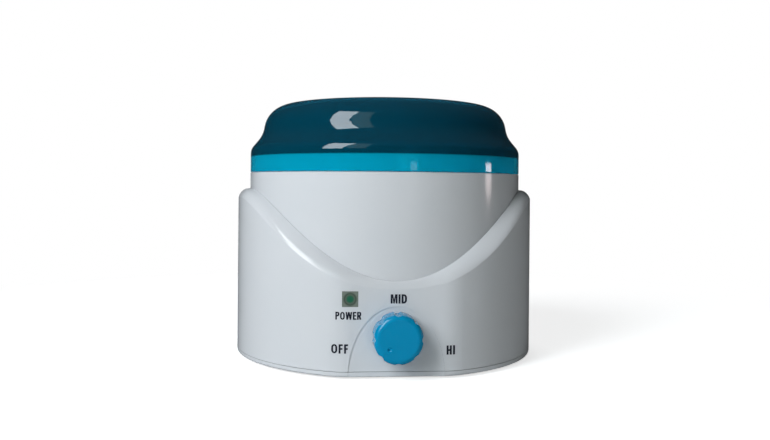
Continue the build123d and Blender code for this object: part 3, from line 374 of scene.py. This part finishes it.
def makeLegend(name, middleX, middleZ, height, stroke, letters, gap):
    # a word as a thin closed print: flat outlines, filled and given a depth, then the front moved to the skin
    # plus proud and the back to the skin minus sunk
    curve = bpy.data.curves.new(name + "_outline", "CURVE")
    curve.dimensions = "2D"
    curve.fill_mode = "BOTH"
    curve.extrude = printSizes["halfDepth"]
    total = sum(width for letter, width in letters) + gap * (len(letters) - 1)
    left = middleX - total / 2
    for letter, width in letters:
        for loop in letterLoops(letter, width, height, stroke, letterShares):
            loop = [p for i, p in enumerate(loop) if math.dist(p, loop[i - 1]) > printSizes["samePoint"]]
            spline = curve.splines.new("POLY")
            spline.points.add(len(loop) - 1)
            flat = np.ones((len(loop), 4))
            flat[:, :2] = loop
            flat[:, 0] += left
            flat[:, 1] += middleZ - height / 2
            flat[:, 2] = 0
            spline.points.foreach_set("co", flat.ravel())
            spline.use_cyclic_u = True
        left += width + gap
    outline = bpy.data.objects.new(name + "_outline", curve)
    scene.collection.objects.link(outline)
    shape = outline.evaluated_get(bpy.context.evaluated_depsgraph_get())
    mesh = bpy.data.meshes.new_from_object(shape)
    bpy.data.objects.remove(outline)
    points = np.empty(len(mesh.vertices) * 3)
    mesh.vertices.foreach_get("co", points)
    x, z, level = points.reshape(-1, 3).T
    y = frontSkin(x, printSizes) - np.where(level > 0, printSizes["proud"], -printSizes["sunk"])
    mesh.vertices.foreach_set("co", (np.stack([x, y, z], 1) * mm).ravel())
    mesh.update()
    mesh.name = name
    mesh.materials.clear()
    mesh.materials.append(printInk)
    piece = bpy.data.objects.new(name, mesh)
    scene.collection.objects.link(piece)
    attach(piece, "housing")


for name, sizes in legendSizes.items():
    makeLegend(name, *sizes)
print("stage: legends printed,", len(legendSizes))

# camera, as the photograph was taken: a little to the left of the middle, level, the frame shifted down
cameraSizes = {
    "distance": 460.0,     # from the axis, mm
    "azimuth": 4.85,       # degrees to the left of the front
    "height": 92.2,
    "focal": 37.36,        # mm
    "sensor": 36,          # mm
    "roll": 0.5,           # degrees
    "shift": (0.0008, -0.0429),
}


def placeCamera(sizes):
    data = bpy.data.cameras.new("camera")
    data.lens = sizes["focal"]
    data.sensor_width = sizes["sensor"]
    data.shift_x, data.shift_y = sizes["shift"]
    turn = math.radians(sizes["azimuth"])
    camera = bpy.data.objects.new("camera", data)
    scene.collection.objects.link(camera)
    reach = sizes["distance"] * mm
    camera.location = (-reach * math.sin(turn), -reach * math.cos(turn), sizes["height"] * mm)
    camera.rotation_euler = (math.pi / 2, 0, -turn)
    camera.rotation_euler.rotate_axis("Z", math.radians(sizes["roll"]))
    return camera


scene.camera = placeCamera(cameraSizes)

# lamps: a soft window to the left with the light round it, a weaker pane beside it, two small strips, and two
# fills for the shade
lampSizes = {
    # name: azimuth from the front (minus is left), elevation, distance m, width m, height m, watts, colour,
    # and whether gloss mirrors it
    "keyWindow": (-47, 32.0, 1.3, 0.40, 0.9, 7.5, (0.94, 0.975, 1.0), True),
    "keySpread": (-46, 26.0, 1.3, 0.62, 1.0, 5.6, (0.94, 0.975, 1.0), False),
    "sidePane": (-27, 32, 1.3, 0.34, 0.85, 0.6, (0.7, 1.0, 0.95), True),
    "frontStrip": (18, 0.9, 1.5, 0.13, 0.07, 0.03, (1.0, 1.0, 1.0), True),
    "sideStrip": (88, 0.9, 1.5, 0.18, 0.07, 0.3, (1.0, 0.85, 0.85), True),
    "frontFill": (14, 4.0, 1.5, 0.5, 0.25, 1.5, (1.0, 1.0, 0.92), False),
    "backFill": (180, 25.0, 1.8, 1.4, 1.0, 9.0, (1.0, 1.0, 1.0), False),
}
aimHeight = 90.0   # mm
aim = np.array([0, 0, aimHeight * mm])
for name, (azimuth, elevation, reach, width, height, watts, colour, inGloss) in lampSizes.items():
    data = bpy.data.lights.new(name, "AREA")
    data.shape = "RECTANGLE"
    data.size, data.size_y = width, height
    data.energy = watts
    data.color = colour
    lamp = bpy.data.objects.new(name, data)
    scene.collection.objects.link(lamp)
    lamp.visible_glossy = inGloss
    a, e = math.radians(azimuth), math.radians(elevation)
    away = np.array([math.sin(a) * math.cos(e), -math.cos(a) * math.cos(e), math.sin(e)])
    lamp.location = aim + away * reach
    lamp.rotation_euler = (math.pi / 2 - e, 0, a)


worldLevels = {
    # how far the ray points along the axis at the start and the end of the change, and the light at each
    "wall": (0.96, 0.995, 0.0, 0.9),
    "ceiling": (0.3, 1.0, 0.012, 0.06),
    "fill": 0.025,         # light of all round, on matt surfaces
}


def lightRamp(tree, along, levels):
    # light that follows one part of a ray's direction, in a straight line between two levels
    sockets = ("From Min", "From Max", "To Min", "To Max")
    return addNode(tree, "ShaderNodeMapRange", dict(zip(sockets, levels)), {"Value": along})


def makeWorld(sizes):
    # white to the camera and through the lid; gloss sees a white wall behind the object and a dim room
    # elsewhere, a little lighter overhead
    world = bpy.data.worlds.new("studio")
    world.use_nodes = True
    scene.world = world
    tree = world.node_tree
    tree.nodes.clear()
    path = addNode(tree, "ShaderNodeLightPath")
    place = addNode(tree, "ShaderNodeTexCoord")
    split = addNode(tree, "ShaderNodeSeparateXYZ", links={"Vector": place.outputs["Generated"]})
    wall = lightRamp(tree, split.outputs["Y"], sizes["wall"])
    ceiling = lightRamp(tree, split.outputs["Z"], sizes["ceiling"])
    level = addNode(tree, "ShaderNodeMath", {"operation": "ADD"}, {
        0: wall.outputs["Result"], 1: ceiling.outputs["Result"]})
    fill = addNode(tree, "ShaderNodeBackground", {"Color": linear("#F2F4F2"), "Strength": sizes["fill"]})
    room = addNode(tree, "ShaderNodeBackground", {"Color": (1, 1, 1, 1)}, {"Strength": level.outputs[0]})
    white = addNode(tree, "ShaderNodeBackground", {"Color": (1, 1, 1, 1), "Strength": 1.0})
    glossMix = addNode(tree, "ShaderNodeMixShader", links={
        0: path.outputs["Is Glossy Ray"], 1: fill.outputs[0], 2: room.outputs[0]})
    seen = addNode(tree, "ShaderNodeMath", {"operation": "MAXIMUM"}, {
        0: path.outputs["Is Camera Ray"], 1: path.outputs["Is Transmission Ray"]})
    worldMix = addNode(tree, "ShaderNodeMixShader", links={
        0: seen.outputs[0], 1: glossMix.outputs[0], 2: white.outputs[0]})
    addNode(tree, "ShaderNodeOutputWorld", links={"Surface": worldMix.outputs[0]})


makeWorld(worldLevels)

floorSizes = {
    "half": 8.0,           # m, so that it ends beyond what the camera sees of it
    "keepShadow": 0.22,    # m from the axis: inside this the floor is lit and keeps the shadow
    "allWhite": 0.42,      # m: beyond this it is plain white
    "lift": 0.70,          # the paper's own light to the camera; the lamps bring it to white in the open
    "glossLift": 0.01,     # and its own light to gloss
}


def makeFloor(sizes):
    # a flat square of pale paper: lit near the object, plain white further out, and dark to gloss
    half = sizes["half"]
    mesh = bpy.data.meshes.new("floor")
    corners = [(-half, -half, 0), (half, -half, 0), (half, half, 0), (-half, half, 0)]
    mesh.from_pydata(corners, [], [(0, 1, 2, 3)])
    floor = bpy.data.objects.new("floor", mesh)
    scene.collection.objects.link(floor)
    material, tree, shader = newMaterial("white paper sweep", {"Roughness": 0.9, "Specular IOR Level": 0.0})
    light = addNode(tree, "ShaderNodeLightPath")
    seen = addNode(tree, "ShaderNodeMath", {"operation": "MAXIMUM"}, {
        0: light.outputs["Is Camera Ray"], 1: light.outputs["Is Transmission Ray"]})
    bounce = addNode(tree, "ShaderNodeMix", {
        "data_type": "RGBA", mixFirst: linear("#E2E4E4"), mixSecond: linear("#4A4B4B")}, {
        0: light.outputs["Is Glossy Ray"]})
    paper = addNode(tree, "ShaderNodeMix", {"data_type": "RGBA", mixSecond: linear("#F4F5F6")}, {
        0: seen.outputs[0], mixFirst: bounce.outputs[mixColour]})
    tree.links.new(paper.outputs[mixColour], shader.inputs["Base Color"])
    lift = addNode(tree, "ShaderNodeMath", {"operation": "MULTIPLY", 1: sizes["lift"]}, {0: seen.outputs[0]})
    glossLift = addNode(tree, "ShaderNodeMath", {"operation": "MULTIPLY_ADD", 1: sizes["glossLift"]}, {
        0: light.outputs["Is Glossy Ray"], 2: lift.outputs[0]})
    shader.inputs["Emission Color"].default_value = (1, 1, 1, 1)
    tree.links.new(glossLift.outputs[0], shader.inputs["Emission Strength"])
    place = addNode(tree, "ShaderNodeTexCoord")
    radius = addNode(tree, "ShaderNodeVectorMath", {"operation": "LENGTH"}, {0: place.outputs["Object"]})
    away = addNode(tree, "ShaderNodeMapRange", {
        "interpolation_type": "SMOOTHSTEP", "From Min": sizes["keepShadow"], "From Max": sizes["allWhite"]},
        {"Value": radius.outputs["Value"]})
    share = addNode(tree, "ShaderNodeMath", {"operation": "MULTIPLY"}, {
        0: away.outputs["Result"], 1: seen.outputs[0]})
    white = addNode(tree, "ShaderNodeEmission", {"Strength": 1.0})
    mixed = addNode(tree, "ShaderNodeMixShader", links={
        0: share.outputs[0], 1: shader.outputs["BSDF"], 2: white.outputs[0]})
    output = next(n for n in tree.nodes if n.bl_idname == "ShaderNodeOutputMaterial")
    tree.links.new(mixed.outputs[0], output.inputs["Surface"])
    mesh.materials.append(material)


makeFloor(floorSizes)
print("stage: camera, lamps and floor")

print("stage: done")
